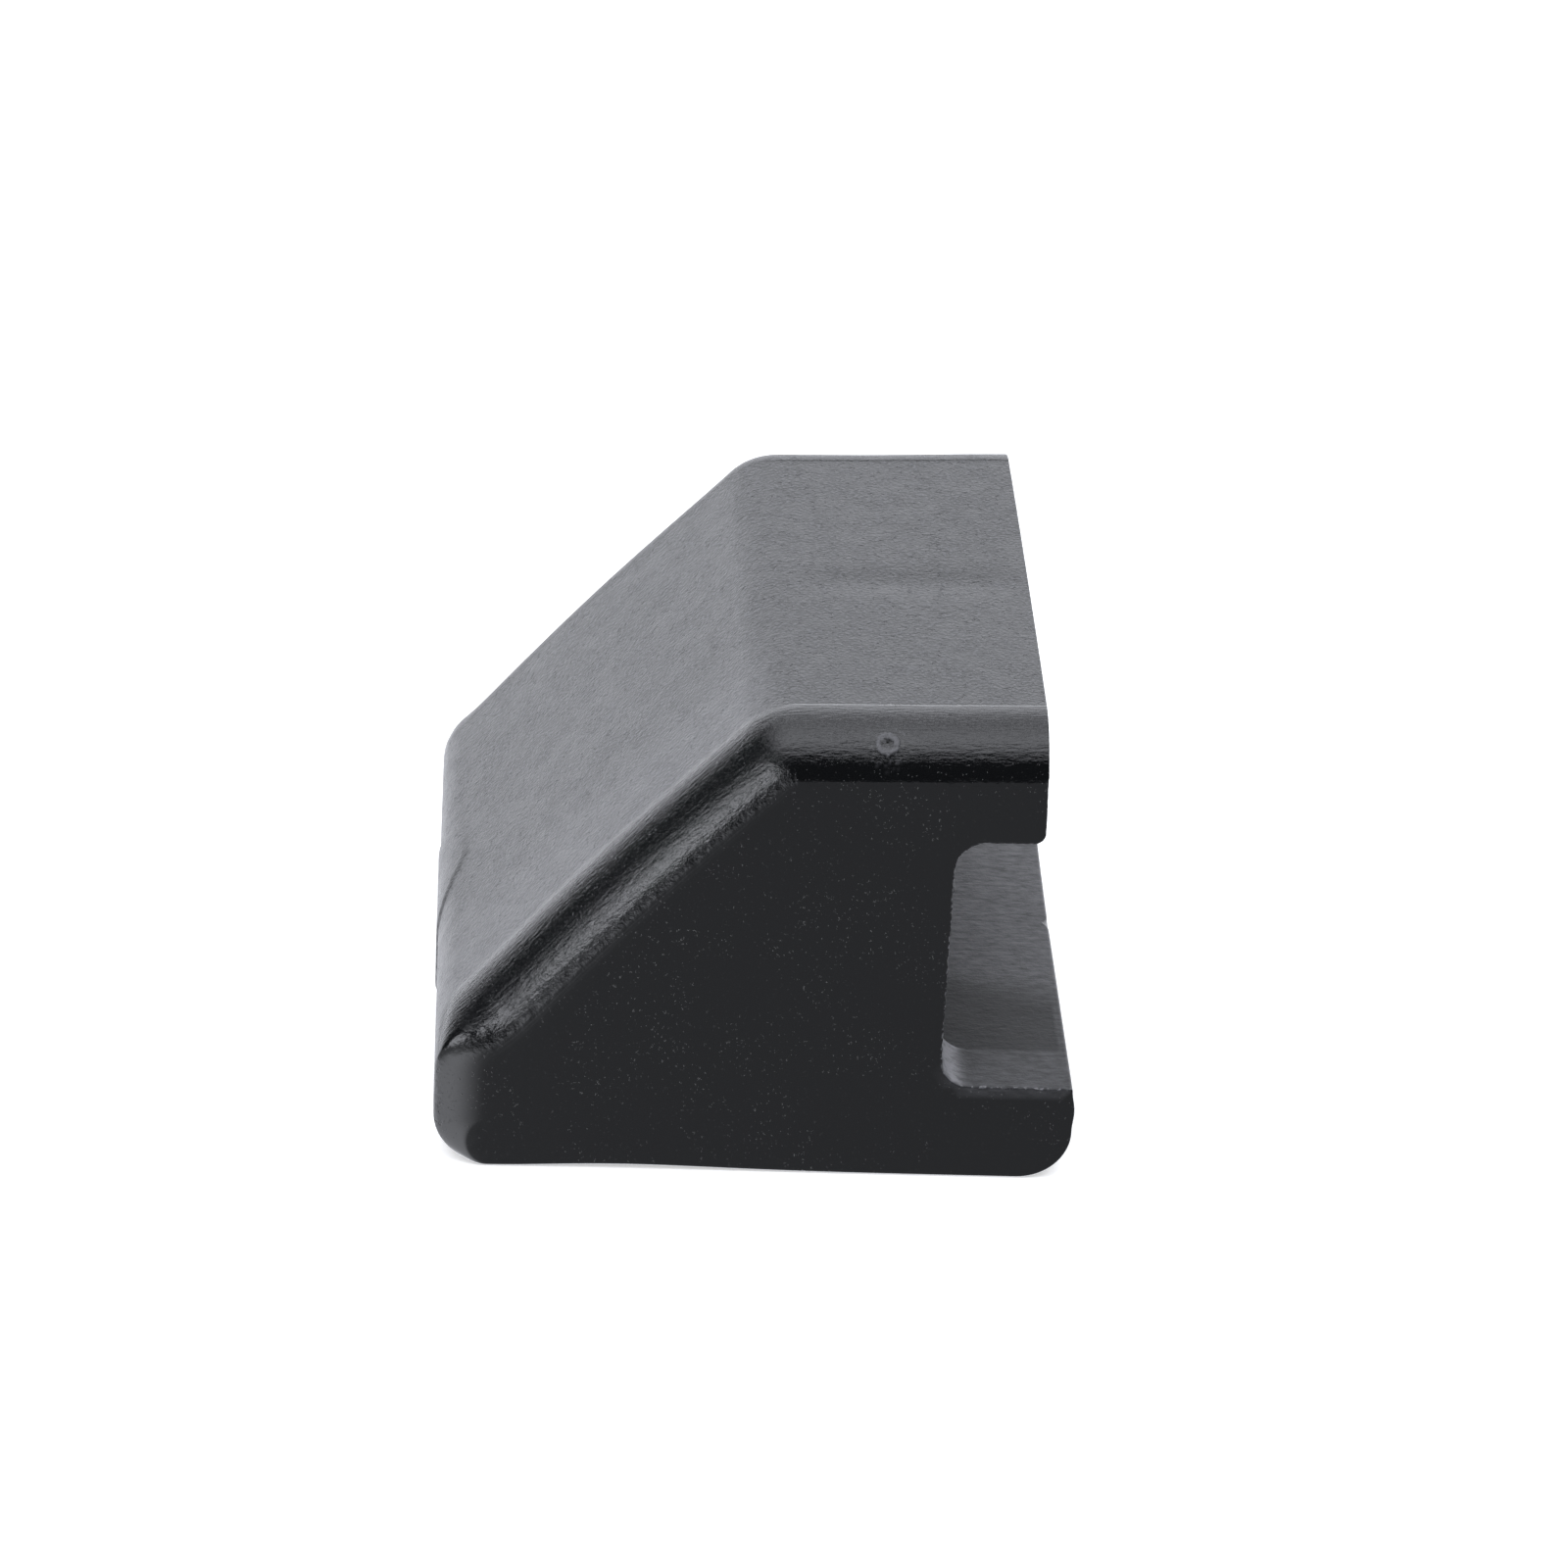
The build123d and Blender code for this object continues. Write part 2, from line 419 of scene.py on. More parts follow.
insertShape = {             # mm, 1/4-20 UNC
    "gap": 0.03,            # hairline between insert and plastic
    "patchHalf": 6.4,
    "around": 72,
    "pitch": 1.27,
    "crestRadius": 2.55,
    "rootRadius": 3.15,
    "boreDepth": 11.0,
    "countersink": 0.5,
    "edgeRound": 0.12,
    "recess": 0.04,
    "waistRadius": 4.1,
    "waistLength": 2.6,
    "innerChamfer": 0.4,
    "knurlDeep": 0.16,
    "knurlCount": 40,
    "mouthWide": 0.14,      # the pocket's mouth is wider by this much
    "mouthSunk": 0.1,       # down to this depth
    "patchSpacing": 0.7,
    "pocketDepth": 20.0,    # the pockets count as lying this far from the end faces
    "threadSteps": 12,      # rows of points in each turn of the thread
    "toothSlope": 1.25, "toothCrest": 0.12,     # shares that shape the thread's flanks and crest
    "runOut": (0.2, 1.8),   # above the bore's bottom, where the thread fades out
    "drillTip": (0.6, 0.9), # depths of the bore's pointed bottom
    "tip": 0.02,            # radius at which a closed end is capped
}
insertNodes = ("front_insert", "rear_insert")


def insertPlace(node):
    # middle of an insert's mouth, its outer radius and its length, in mm
    low, high = (np.array(corner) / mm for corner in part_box(node))
    middle = (low + high) / 2
    return np.array([high[0], middle[1], middle[2]]), (high[2] - low[2]) / 2, high[0] - low[0]


def buildHorn():
    shape = hornShape
    sections = []
    shares = None
    for radius in (shape["sillCornerRadius"], shape["channelCornerRadius"]):
        points, normals, places, shares = hornSection(radius, shares)
        lipTop = np.array([endWallX + shape["lipReach"], topZ])
        ringSteps = np.linalg.norm(np.diff(points, axis=0), axis=1)
        alongRing = np.concatenate([[0], np.cumsum(ringSteps)])
        shoulder = np.count_nonzero(places <= endWall) - 1
        sections.append((points, normals, places, np.linalg.norm(points - lipTop, axis=1),
                         alongRing - alongRing[shoulder]))
    places = sections[0][2]
    stations = hornStations()
    count = len(places)
    points, depths = [], []
    for y in stations:
        depth = min(y - frontY, rearY - y)
        section = sectionPoints(depth, sections)
        points.append(np.stack([section[:, 0], np.full(count, y), section[:, 1]], 1))
        depths.append(np.full(count, depth))
    points = np.concatenate(points)
    depths = np.concatenate(depths)
    sides = np.tile(places, len(stations))
    alongs = np.tile(alongRing, len(stations))
    index = np.arange(len(points)).reshape(len(stations), count)
    # windows in the channel's wall for the inserts
    windows = []
    onWall = places == channelWall
    for node in insertNodes:
        mouth, radius, length = insertPlace(node)
        half = insertShape["patchHalf"]
        rows = np.where(np.abs(stations - mouth[1]) < half)[0]
        columns = np.where(onWall & (np.abs(sections[0][0][:, 1] - mouth[2]) < half))[0]
        windows.append((mouth, radius, length, rows[0], rows[-1], columns[0], columns[-1]))
    spans = [window[3:] for window in windows]
    faces = []
    for row in range(len(stations) - 1):
        for column in range(count):
            inWindow = any(firstRow <= row < lastRow and left <= column < right
                           for firstRow, lastRow, left, right in spans)
            if not inWindow:
                onward = (column + 1) % count
                faces.append([index[row, column], index[row, onward],
                              index[row + 1, onward], index[row + 1, column]])
    # end faces
    extraPoints, extraSides, extraDepths = [], [], []
    for row, y in ((0, frontY), (len(stations) - 1, rearY)):
        loop = index[row]
        flat = points[loop][:, [0, 2]]
        inner, triangles = flatPatch(np.arange(count), [], shape["faceSpacing"], flat)
        first = len(points) + sum(len(block) for block in extraPoints)
        lookup = np.concatenate([loop, first + np.arange(len(inner))])
        faces += [[lookup[i] for i in triangle] for triangle in triangles]
        extraPoints.append(np.array([(u, y, v) for u, v in inner]))
        extraSides.append(np.full(len(inner), endFace))
        extraDepths.append(np.zeros(len(inner)))
    # pockets that hold the inserts
    for mouth, radius, length, firstRow, lastRow, left, right in windows:
        loop = np.concatenate([index[firstRow, left:right], index[firstRow:lastRow, right],
                               index[lastRow, left + 1:right + 1][::-1],
                               index[firstRow + 1:lastRow + 1, left][::-1]])
        around = insertShape["around"]
        turn = np.linspace(0, 2 * math.pi, around, endpoint=False)
        rings = []
        mouthRadius, bore = radius + insertShape["mouthWide"], radius + insertShape["gap"]
        for ringRadius, sunk in ((mouthRadius, 0), (bore, insertShape["mouthSunk"]), (bore, length)):
            across = mouth[1] + ringRadius * np.cos(turn)
            rings.append(np.stack([np.full(around, mouth[0] - sunk), across,
                                   mouth[2] + ringRadius * np.sin(turn)], 1))
        first = len(points) + sum(len(block) for block in extraPoints)
        flat = np.concatenate([points[loop][:, [1, 2]], rings[0][:, [1, 2]]])
        inner, triangles = flatPatch(np.arange(len(loop)), [len(loop) + np.arange(around)],
                                     insertShape["patchSpacing"], flat)
        added = np.concatenate(rings + [np.array([(mouth[0] - length, mouth[1], mouth[2])]),
                                        np.array([(mouth[0], u, v) for u, v in inner]).reshape(-1, 3)])
        innerFirst = first + 3 * around + 1
        lookup = np.concatenate([loop, first + np.arange(around), innerFirst + np.arange(len(inner))])
        faces += [[lookup[i] for i in triangle] for triangle in triangles]
        for step in range(around):
            onward = (step + 1) % around
            for ring in range(2):
                outer, deeper = first + ring * around, first + (ring + 1) * around
                faces.append([outer + step, outer + onward, deeper + onward, deeper + step])
            faces.append([first + 2 * around + step, first + 2 * around + onward, first + 3 * around])
        extraPoints.append(added)
        extraSides.append(np.full(len(added), pocket))
        extraDepths.append(np.full(len(added), insertShape["pocketDepth"]))
    points = np.concatenate([points] + extraPoints)
    sides = np.concatenate([sides] + extraSides)
    depths = np.concatenate([depths] + extraDepths)
    alongs = np.concatenate([alongs, np.zeros(len(points) - len(alongs))])
    return points, faces, sides, depths, alongs


hornPoints, hornFaces, hornSides, hornDepths, hornAlongs = buildHorn()
print("horn mesh:", len(hornPoints), "points")


def sideShare(values):
    # a share for each point of the horn: by side, 0 on the end faces and in the pockets
    share = blended(values, np.where(hornSides < -1, 0, hornSides))
    return np.where(hornSides < -1, 0, share)


def hornNormals(points):
    # outward normals of the mesh as it stands
    mesh = bpy.data.meshes.new("normals")
    mesh.from_pydata([tuple(point) for point in points], [], hornFaces)
    work = bmesh.new()
    work.from_mesh(mesh)
    bmesh.ops.recalc_face_normals(work, faces=work.faces)
    work.to_mesh(mesh)
    mesh.update()
    normals = np.zeros(len(points) * 3)
    mesh.vertices.foreach_get("normal", normals)
    ordered = [list(polygon.vertices) for polygon in mesh.polygons]
    work.free()
    bpy.data.meshes.remove(mesh)
    return normals.reshape(-1, 3), ordered


# what moulding and trimming left on the surface; a pair is where a mark starts and where it is full
mouldingMarks = {           # mm
    "sinkDeep": 0.06, "sinkWide": 15.0, "sinkInward": (0.2, 4),
    "valleyDeep": 0.2, "valleyWide": 2.3, "valleyY": -0.6,
    "valleyStart": (31, 40), "valleyEnd": (56, 50),
    "ridgeHigh": 0.05, "ridgeWide": 0.14, "ridgeInward": 0.02, "ridgeStart": (29.5, 34),
    "cornerLift": 0.3,      # the top rises towards the rear end of the lip
    "cornerAlong": (38, 55), "cornerRearward": (-5, 32), "cornerUpward": (34, 46),
    "lipBow": 0.18,         # the lip's end bows out in the middle
    "bowY": 6, "bowHalf": 38, "bowAlong": (50, 55), "bowUpward": (33, 37),
    "rearSwell": 0.1,       # the slope stands fuller towards the rear
    "rearSwellLow": 0.16,   # and more so near the shoulder
    "swellLow": (18, 4), "swellRearward": (2, 26),
    "floorWave": 0.06, "waveSize": 3.5, "waveInward": (0.3, 2),
    "floorStep": 0.03, "stepRearward": (0.0, 0.9), "stepY": 0.3,
    "flareOut": 0.42,       # the lower lip's nose widens towards the rear
    "flareLong": 30, "flarePower": 1.3, "flareUpward": (4, 9), "flareAlong": (53, 59),
    "nickDeep": 0.5, "nickWide": 0.6, "nickY": -0.2, "nickStretch": 0.6,
    "burr": 0.16, "burrLength": 0.5, "burrInward": 0.32, "burrStretch": 0.4,
    "padFade": (16, 12),    # from the end wall, where the pad gives way to the slope
    "padSoft": 0.2,
}


def shapeHorn():
    # the marks of moulding and trimming, as moves of the mesh's points
    marks, shape = mouldingMarks, hornShape
    points = hornPoints.copy()
    normals, faces = hornNormals(points)
    x, y, z = points.T
    fromWall = x - endWallX
    outer = sideShare([1, 1, 1, 0, 0, 0, 0, 0, 0])
    onTop = sideShare([0, 0, 1, 0, 0, 0, 0, 0, 0])
    onFloor = sideShare([0, 0, 0, 0, 0, 0, 1, 0, 0])
    onChannel = sideShare([0, 0, 0, 0, 1, 1, 1, 0, 0])
    onNose = sideShare([0, 0, 0, 0, 0, 0, 0, 1, 0])
    # sink marks over the thick middle
    lift = marks["sinkDeep"] * noiseField(points, marks["sinkWide"], 3) * outer
    lift = lift * ease(*marks["sinkInward"], hornDepths)
    # shallow valley across the middle of the top
    valley = np.exp(-((y - marks["valleyY"]) / marks["valleyWide"]) ** 2)
    valley = valley * ease(*marks["valleyStart"], fromWall) * ease(*marks["valleyEnd"], fromWall)
    lift -= marks["valleyDeep"] * valley * onTop
    # witness line where the front and rear roundings begin
    fromLine = np.abs(hornDepths - shape["topRound"] - marks["ridgeInward"])
    witness = np.clip(1 - fromLine / marks["ridgeWide"], 0, 1)
    lift += marks["ridgeHigh"] * witness * onTop * ease(*marks["ridgeStart"], fromWall)
    points[:, 2] += (marks["cornerLift"] * ease(*marks["cornerAlong"], fromWall)
                     * ease(*marks["cornerRearward"], y) * ease(*marks["cornerUpward"], z))
    points[:, 0] += (marks["lipBow"] * (1 - ((y - marks["bowY"]) / marks["bowHalf"]) ** 2)
                     * ease(*marks["bowAlong"], fromWall) * ease(*marks["bowUpward"], z))
    swell = marks["rearSwell"] + marks["rearSwellLow"] * ease(*marks["swellLow"], fromWall)
    swell = swell * ease(*marks["swellRearward"], y) * sideShare([0, 1, 0.1, 0, 0, 0, 0, 0, 0])
    points += normals * [1, 0, 1] * swell[:, None]
    # cut surfaces of the channel
    wave = noiseField(points * [0.5, 1, 1], marks["waveSize"], 8)
    lift += marks["floorWave"] * wave * onChannel * ease(*marks["waveInward"], hornDepths)
    lift += marks["floorStep"] * onFloor * ease(*marks["stepRearward"], y - marks["stepY"])
    points += normals * lift[:, None]
    # lower lip's nose
    flare = marks["flareOut"] * np.clip(y / marks["flareLong"], 0, 1) ** marks["flarePower"]
    points[:, 0] += flare * (onNose * ease(*marks["flareUpward"], z)
                             + onFloor * ease(*marks["flareAlong"], fromWall))
    # nick in the nose's edge
    nickAt = np.array([endWallX + shape["noseReach"], marks["nickY"], floorZ])
    away = np.linalg.norm((points - nickAt) * [1, 1, marks["nickStretch"]], axis=1)
    points[:, 0] -= marks["nickDeep"] * np.exp(-(away / marks["nickWide"]) ** 2)
    # burrs along the channel's mouth in the end faces
    onMouth = np.clip(onChannel + sideShare([0, 0, 0, 0.4, 0, 0, 0, 0, 0]), 0, 1)
    edge = np.exp(-(hornDepths / marks["burrInward"]) ** 2) * onMouth
    ragged = noiseField(points * [1, marks["burrStretch"], 1], marks["burrLength"], 21)
    points += normals * [1, 0, 1] * (marks["burr"] * ragged * edge)[:, None]
    # round pad on the end wall, over the shoulder and the heel
    reach = np.hypot(y - shape["padBack"], z - shape["padHeight"])
    near, far = (endWallX + place for place in marks["padFade"])
    onWall = sideShare([1, 1, 0, 0, 0, 0, 0, 0, 1]) * ease(near, far, x)
    disc = ease(shape["padRadius"] + marks["padSoft"], shape["padRadius"] - marks["padSoft"], reach)
    points[:, 0] -= shape["padProud"] * disc * onWall
    # ring and dimple of the gate mark
    mark = gateMark
    turn = math.radians(mark["turn"])
    radius = shape["topRound"]
    alongSide = (mark["alongTop"] - shape["slopeRun"]) / (shape["lipReach"] - shape["slopeRun"])
    topHere = topZ - shape["topFall"] * (1 - alongSide)
    markAt = np.array([endWallX + mark["alongTop"], frontY + radius * (1 - math.sin(turn)),
                       topHere - radius * (1 - math.cos(turn))])
    away = np.linalg.norm(points - markAt, axis=1)
    ring = np.exp(-((away - mark["ringRadius"]) / mark["ringWidth"]) ** 4)
    dimple = np.exp(-(away / mark["dimpleRadius"]) ** 2)
    halo = np.exp(-(away / mark["haloRadius"]) ** 4)
    pits = noiseField(points, mark["pitSize"], 33)
    pits = pits + mark["finePitShare"] * noiseField(points, mark["finePitSize"], 35)
    lift = ring * mark["ringHigh"] * (1 + mark["ringPits"] * pits)
    lift = lift - mark["dimpleDeep"] * dimple * (1 + mark["dimplePits"] * pits)
    lift += halo * (mark["haloHigh"] * noiseField(points, mark["haloLump"], 37) - mark["haloDeep"])
    points += normals * (lift * (away < mark["reach"]))[:, None]
    lumps = noiseField(points, mark["scuffLump"], 39)
    paleScuffAndLight = np.clip(ring * (0.9 + 1.5 * pits), 0, 1) + 0.5 * halo * ease(0.15, 0.5, lumps)
    return points, faces, np.clip(paleScuffAndLight, 0, 1)


hornPoints, hornFaces, gateScuff = shapeHorn()
hornPiece = makeMesh("moulded_horn", hornPoints, hornFaces)
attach(hornPiece, "root")
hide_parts("horn_body")


def addShare(mesh, name, values, kind="FLOAT", field="value"):
    attribute = mesh.attributes.new(name, kind, "POINT")
    attribute.data.foreach_set(field, np.asarray(values, dtype=np.float32).ravel())


surfaceShares = {           # a value for each side, from the end wall round to the base
    "grain": (1, 1, 1, 0.5, 0, 0, 0, 0.5, 0.6),
    # mm in from an end face, where the grain starts and where it is full
    "grainStart": (0.05, 4.6, 5.97, 0, 0, 0, 0, 0.4, 0.4),
    "grainFull": (1.3, 6.6, 6.1, 0.2, 0.2, 0.2, 0.2, 1.4, 1.4),
    "cut": (0, 0, 0, 0.3, 1, 1, 1, 0.2, 0),
    "rim": (0, 0, 0, 0.3, 1, 1, 1, 0, 0),
    "rounding": (0, 1, 1, 0, 0, 0, 0, 0, 0),
    "slope": (0, 1, 0, 0, 0, 0, 0, 0, 0),
    "floor": (0, 0, 0, 0, 0, 0, 1, 0, 0),
}
shareSpans = {               # mm; a pair is where a share starts and where it is full
    "onEndFace": (0, 0.05),
    "cutInward": (0, 0.2), "rimOutward": (0.4, 0.1),
    "roundingOutward": (6.5, 5.0), "roundingInward": (0, 0.1),
    "edgeForward": (-8, -22), "edgeInward": (5, 6.5),
    "sillSoft": 0.3, "cornerSoft": 0.1,
    "paintedLightRearward": (-13, -5), "paintedLightWander": 3, "paintedLightLump": 7,
    "mouthNear": (0.9, 0.6), "mouthForward": (0, -3),
}


def markHorn(mesh):
    # shares that the plastic's shader reads
    spans = shareSpans
    x, y, z = hornPoints.T
    side = {name: sideShare(values) for name, values in surfaceShares.items()}
    full = side["grainFull"] + 0.01
    inward = ease(0, 1, (hornDepths - side["grainStart"]) / (full - side["grainStart"]))
    atRear = ease(-1, 1, y) * side["rounding"]
    addShare(mesh, "mouldGrain", side["grain"] * (inward + (1 - inward) * atRear))
    pockets = np.where(hornSides == pocket, 1, 0)
    cut = side["cut"] * ease(*spans["cutInward"], hornDepths)
    addShare(mesh, "channelCut", np.maximum(cut, pockets))
    addShare(mesh, "endRounding", side["rounding"] * ease(*spans["roundingOutward"], hornDepths)
             * ease(*spans["roundingInward"], hornDepths))
    addShare(mesh, "gateScuff", gateScuff)
    offFace = ease(*spans["onEndFace"], hornDepths)
    addShare(mesh, "channelRim", side["rim"] * ease(*spans["rimOutward"], hornDepths) * offFace)
    addShare(mesh, "flowPlace", np.stack([hornAlongs, y, z * 0], 1), "FLOAT_VECTOR", "vector")
    # the slope is paler towards its front end
    addShare(mesh, "slopeFrontPale", side["slope"] * ease(*spans["edgeForward"], y)
             * ease(*spans["edgeInward"], hornDepths))
    # painted light: the channel's floor is painted paler along its front stretch and towards the rear,
    # where light reaches it past the upper lip, with a painted highlight along its edge
    wander = spans["paintedLightWander"] * noiseField(hornPoints * [0.6, 1, 1], spans["paintedLightLump"], 51)
    fromMouth = endWallX + hornShape["noseReach"] - x
    fromFront = y - frontY
    sill = hornShape["sillLength"]
    stretch = np.maximum(0.5 * ease(sill + spans["sillSoft"], sill - spans["sillSoft"], fromFront),
                         ease(*spans["paintedLightRearward"], y + 0.5 * (x - wallX) + wander))
    alongEdge = ease(*spans["mouthNear"], fromMouth) * ease(*spans["mouthForward"], y)
    stretch = np.maximum(stretch, 0.45 * alongEdge)
    # painted light: its front corner with the channel's wall gets the brightest painted light
    corner = ease(0.2, 0.9, 1 - np.abs(hornSides - (channelWall + 0.5)) / 0.6)
    corner = corner * ease(sill + spans["cornerSoft"], sill - spans["cornerSoft"], fromFront) * offFace
    addShare(mesh, "channelPaintedLight", np.maximum(side["floor"] * stretch, 3.2 * corner))


markHorn(hornPiece.data)
print("horn shaped")


def latheFaces(rows, around):
    # faces between rows of points that each go once round
    faces = []
    for row in range(rows - 1):
        for step in range(around):
            onward = (step + 1) % around
            lower, upper = row * around, (row + 1) * around
            faces.append([lower + step, lower + onward, upper + onward, upper + step])
    return faces


def buildInsert(node, name):
    shape = insertShape
    mouth, radius, length = insertPlace(node)
    around = shape["around"]
    turn = np.linspace(0, 2 * math.pi, around, endpoint=False)
    rows = []                # each row: depth behind the mouth, radii all round

    def addRing(depth, ringRadius):
        rows.append((depth, np.full(around, ringRadius)))

    # outside, from the inner end to the mouth
    waistStart = (length - shape["waistLength"]) / 2
    waistEnd = waistStart + shape["waistLength"]
    chamferEnd = length - shape["innerChamfer"]
    knurled = radius - shape["knurlDeep"] * (0.5 + 0.5 * np.cos(shape["knurlCount"] * turn))
    addRing(length, shape["tip"])
    addRing(length, radius - shape["innerChamfer"] - 0.1)
    addRing(chamferEnd, radius)
    rows += [(depth, knurled) for depth in np.linspace(chamferEnd - 0.1, waistEnd + 0.1, 12)]
    addRing(waistEnd, shape["waistRadius"])
    addRing(waistStart, shape["waistRadius"])
    rows += [(depth, knurled) for depth in np.linspace(waistStart - 0.1, 0.8, 10)]
    addRing(0.5, radius)
    rim = shape["edgeRound"]
    for lean in np.radians(np.linspace(0, 90, 5)):
        addRing(shape["recess"] + rim * (1 - math.sin(lean)), radius - rim * (1 - math.cos(lean)))
    face = np.linspace(radius - rim - 0.05, shape["rootRadius"] + shape["countersink"] * 0.4, 7)
    for ringRadius in face:
        addRing(shape["recess"], ringRadius)
    # countersink, thread and the bottom of the bore
    addRing(shape["recess"] + 0.02, face[-1] - 0.04)
    start = shape["recess"] + shape["countersink"]
    bottom = shape["boreDepth"]
    steps = int(bottom / shape["pitch"] * shape["threadSteps"])
    for step in range(steps):
        depth = start + step * (bottom - start) / steps
        phase = (depth / shape["pitch"] - turn / (2 * math.pi)) % 1
        tooth = np.clip(shape["toothSlope"] * (1 - 2 * np.abs(phase - 0.5)) - shape["toothCrest"], 0, 1)
        faded, full = (bottom - above for above in shape["runOut"])
        tooth = tooth * ease(faded, full, depth)
        threadDeep = shape["rootRadius"] - shape["crestRadius"]
        rows.append((depth, shape["crestRadius"] + threadDeep * tooth))
    addRing(bottom, shape["crestRadius"] * 0.98)
    addRing(bottom + shape["drillTip"][0], shape["crestRadius"] * 0.5)
    addRing(bottom + shape["drillTip"][1], shape["tip"])
    points = np.concatenate([
        np.stack([np.full(around, -depth), radii * np.cos(turn), radii * np.sin(turn)], 1)
        for depth, radii in rows])
    faces = latheFaces(len(rows), around)
    faces.append(list(range(around)))
    faces.append(list(range((len(rows) - 1) * around, len(rows) * around))[::-1])
    piece = makeMesh(name, points, faces)
    piece.location = [place * mm for place in mouth]
    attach(piece, "root")
    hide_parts(node)
    return piece


insertPieces = [buildInsert(node, node.replace("_insert", "_brass_insert")) for node in insertNodes]
print("inserts built")


def newMaterial(name):
    material = bpy.data.materials.new(name)
    material.use_nodes = True
    tree = material.node_tree
    tree.nodes.clear()
    return material, tree


smooth = {"interpolation_type": "SMOOTHSTEP"}
times, plus, minus, most = ({"operation": name} for name in ("MULTIPLY", "ADD", "SUBTRACT", "MAXIMUM"))
inColour = {"data_type": "RGBA"}

plasticLook = {
    "black": "#0d0e0f", "worn": "#3a3b3e", "cut": "#1b1c1d", "paleScuffAndLight": "#7d7d80", "dust": "#9a9a96",
    "grainSize": 0.36,      # mm, lumps of the mould's spark-eroded texture; drawn about twice as coarse
    "poreSize": 0.6,        # sunken pores between them, coarsened in the same way
    "peelSize": 1.7,        # orange peel on the smoother faces
    "mottleSize": 2.6,      # blotches of different gloss
    "patchSize": 7.0,       # dust gathers in patches of this size
    "streakSize": 0.24,     # across the flow lines
    "streakLong": 6.0,      # times as long as they are wide
    "tearSize": 0.625,      # torn plastic in the channel
    "tearAcross": 0.35,     # its size the other way, as a share
    "gateScuffShare": 0.55,
    "dustSize": 0.27,
    "grainRoughness": 0.45, "faceRoughness": 0.1, "cutRoughness": 0.7, "scuffRoughness": 0.7,
    "grainDeep": 0.1, "poreDeep": 0.09, "peelDeep": 0.006, "streakDeep": 0.09, "cutDeep": 0.07,
    "dustHigh": 0.03,
    "slopeFrontPaleShare": 0.12, "paintedLightShare": 0.3, "dustShare": 0.13,
}


